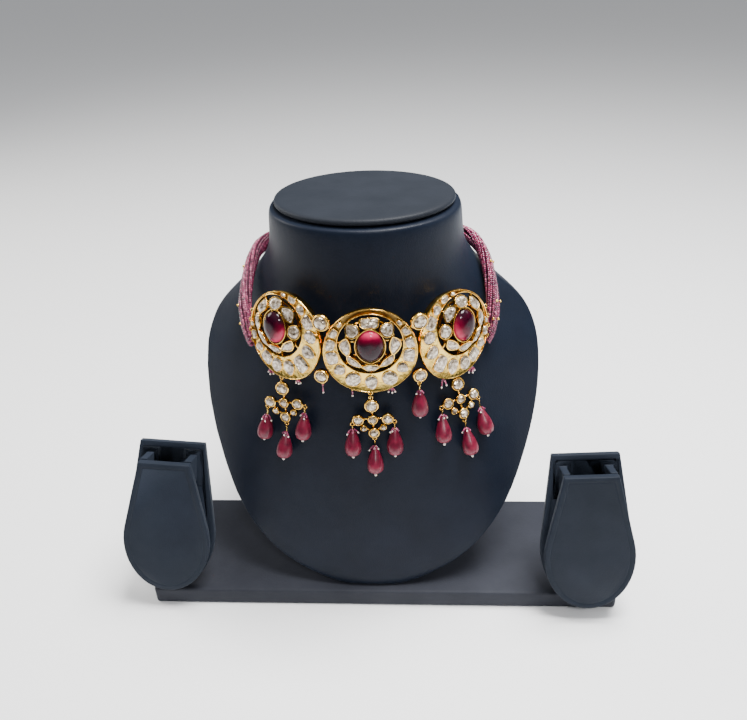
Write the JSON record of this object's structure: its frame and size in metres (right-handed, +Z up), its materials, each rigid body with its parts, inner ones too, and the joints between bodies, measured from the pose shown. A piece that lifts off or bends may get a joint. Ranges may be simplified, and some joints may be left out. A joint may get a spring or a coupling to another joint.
{
  "type": "kundan choker necklace on a neck bust stand",
  "caption": "Choker of round gold medallions with rubies, polki stones and ruby drops, worn on a black neck bust that stands on a board with two earring stands.",
  "frame": {"origin": "on the table, under the middle of the whole piece's box", "axes": "+Z up, the wearer's front and the board's long front edge face -Y, +X to the right as seen in the picture"},
  "size_m": [0.2672, 0.1264, 0.2088],
  "materials": {
    "black_leatherette": "satin blue-black leatherette over a stiff form",
    "padded_leatherette": "satin leatherette over a thin pad",
    "gold": "polished gold, hand-burnished settings",
    "ruby": "polished, deep red",
    "polki": "flat-cut colourless stones over silver foil",
    "garnet_beads": "small polished plum-red seed beads"
  },
  "bodies": {
    "root": {"base_board": "black_leatherette", "bust": "black_leatherette", "bust_cap": "padded_leatherette", "left_ear_stand_back": "black_leatherette", "left_ear_stand_tongue": "black_leatherette", "right_ear_stand_back": "black_leatherette", "right_ear_stand_tongue": "black_leatherette", "center_medallion": "gold", "center_ruby": "ruby", "center_crescent_stones": "polki", "center_petal_stones": "polki", "left_medallion": "gold", "left_ruby": "ruby", "left_crescent_stones": "polki", "left_petal_stones": "polki", "right_medallion": "gold", "right_ruby": "ruby", "right_crescent_stones": "polki", "right_petal_stones": "polki", "upper_left_link": "gold", "upper_left_link_stone": "polki", "lower_left_link": "gold", "lower_left_link_stone": "polki", "upper_right_link": "gold", "upper_right_link_stone": "polki", "lower_right_link": "gold", "lower_right_link_stone": "polki", "center_pendant": "gold", "center_pendant_stones": "polki", "center_jump_ring": "gold", "center_drop_pins": "gold", "center_drop_left": "ruby", "center_drop_middle": "ruby", "center_drop_right": "ruby", "left_pendant": "gold", "left_pendant_stones": "polki", "left_drop_pins": "gold", "left_drop_left": "ruby", "left_drop_middle": "ruby", "left_drop_right": "ruby", "right_pendant": "gold", "right_pendant_stones": "polki", "right_drop_pins": "gold", "right_drop_left": "ruby", "right_drop_middle": "ruby", "right_drop_right": "ruby", "link_drop": "ruby", "link_drop_pin": "gold", "left_strands": "garnet_beads", "right_strands": "garnet_beads", "left_end_cap": "gold", "right_end_cap": "gold", "clasp": "gold"}
  },
  "joints": []
}
